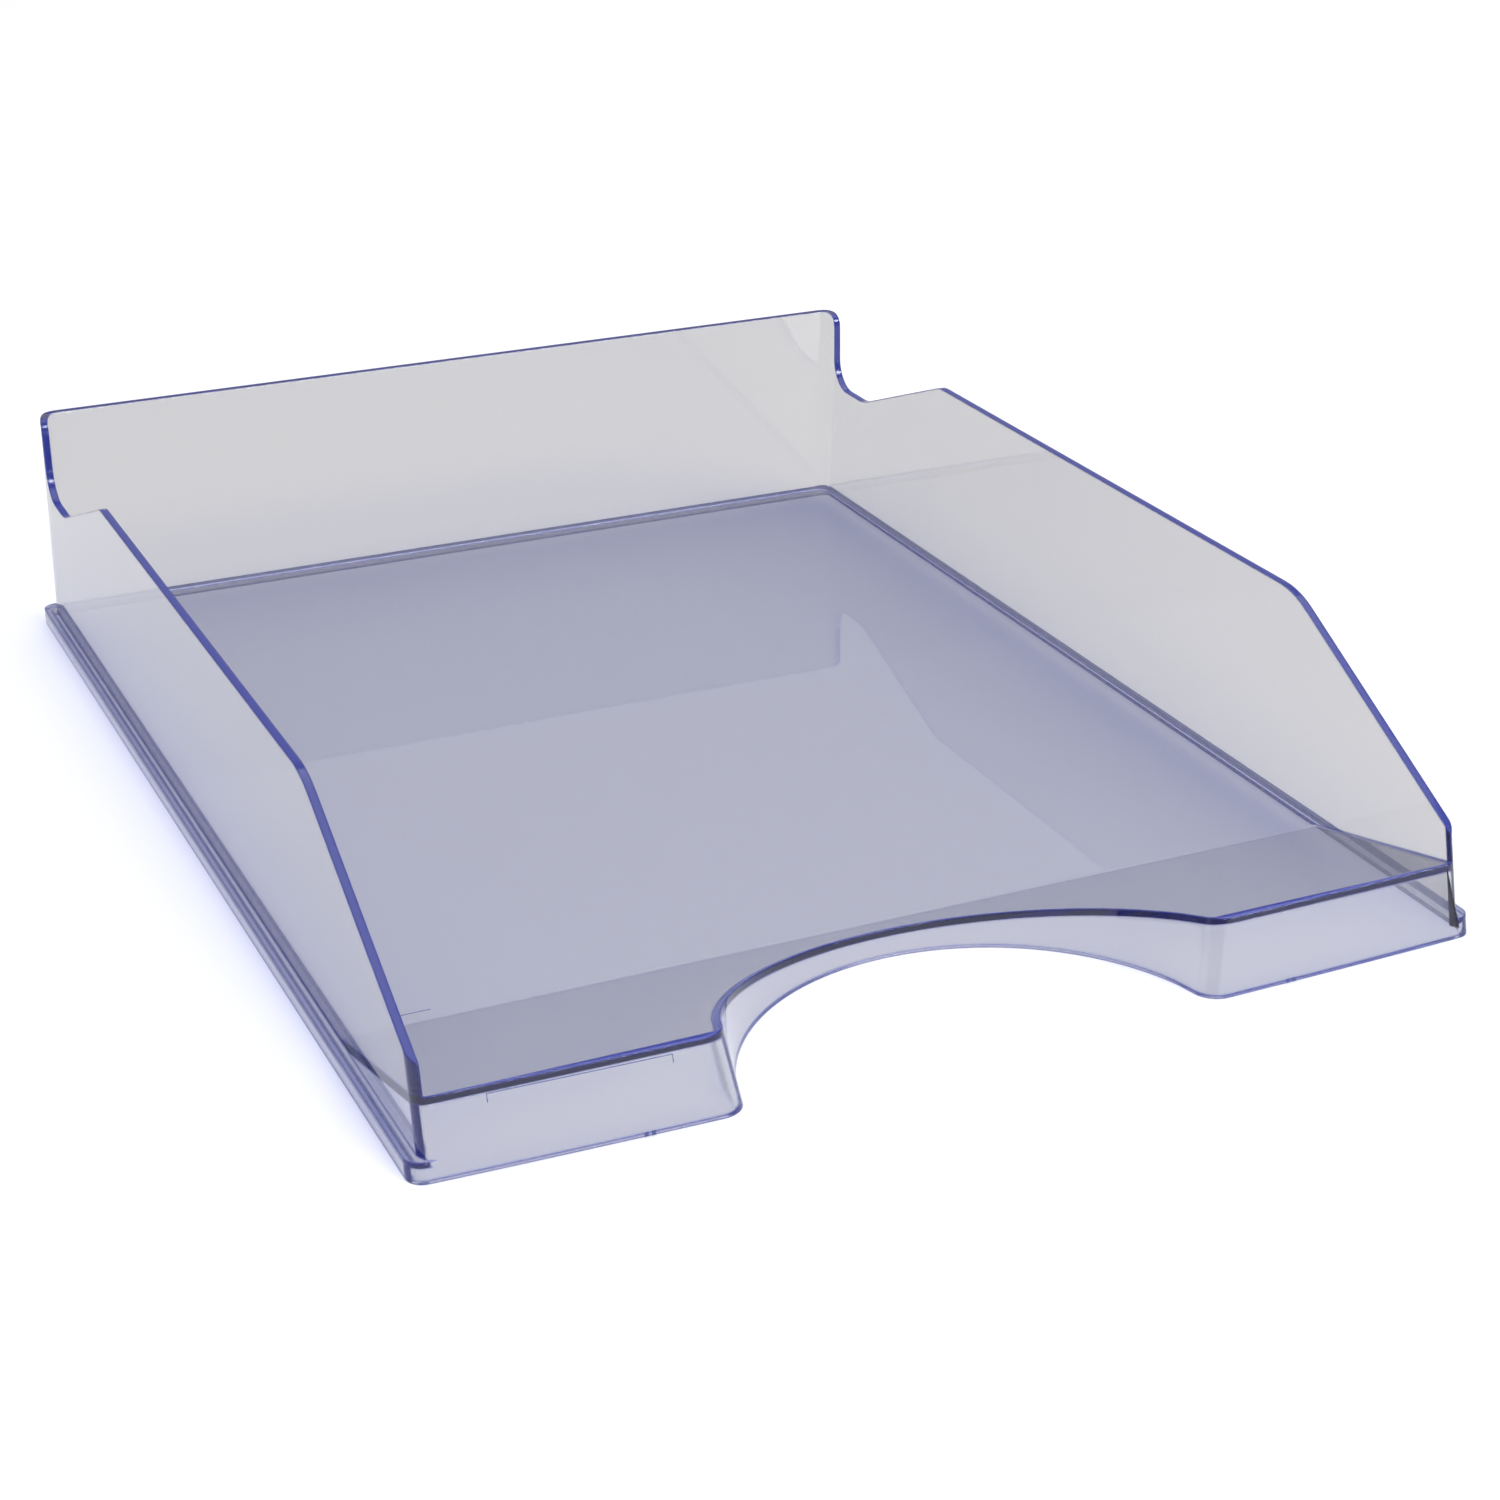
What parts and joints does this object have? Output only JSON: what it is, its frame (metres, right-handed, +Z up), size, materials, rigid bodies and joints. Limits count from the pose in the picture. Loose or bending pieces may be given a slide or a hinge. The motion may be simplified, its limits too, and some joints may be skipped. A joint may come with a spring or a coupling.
{
  "type": "letter tray",
  "caption": "Clear stackable desk tray for A4 paper, open at the front, with a ramped front edge, a finger arch and stepped side walls.",
  "frame": {"origin": "middle of the underside, on the desk", "axes": "+Z up, +Y from the open front to the rear wall, +X to the right seen from the front"},
  "size_m": [0.255, 0.346, 0.065],
  "materials": {
    "clear_plastic": "clear moulded polystyrene, polished, with a faint cool tint that turns deep blue in its thick edges"
  },
  "bodies": {
    "root": {"floor_panel": "clear_plastic", "left_side_wall": "clear_plastic", "right_side_wall": "clear_plastic", "left_rear_corner": "clear_plastic", "right_rear_corner": "clear_plastic", "rear_wall": "clear_plastic", "left_front_panel": "clear_plastic", "right_front_panel": "clear_plastic", "left_ramp": "clear_plastic", "middle_ramp": "clear_plastic", "right_ramp": "clear_plastic", "arch_skirt": "clear_plastic", "left_ledge": "clear_plastic", "right_ledge": "clear_plastic", "rear_ledge": "clear_plastic", "left_lip": "clear_plastic", "right_lip": "clear_plastic", "rear_lip": "clear_plastic"}
  },
  "joints": []
}
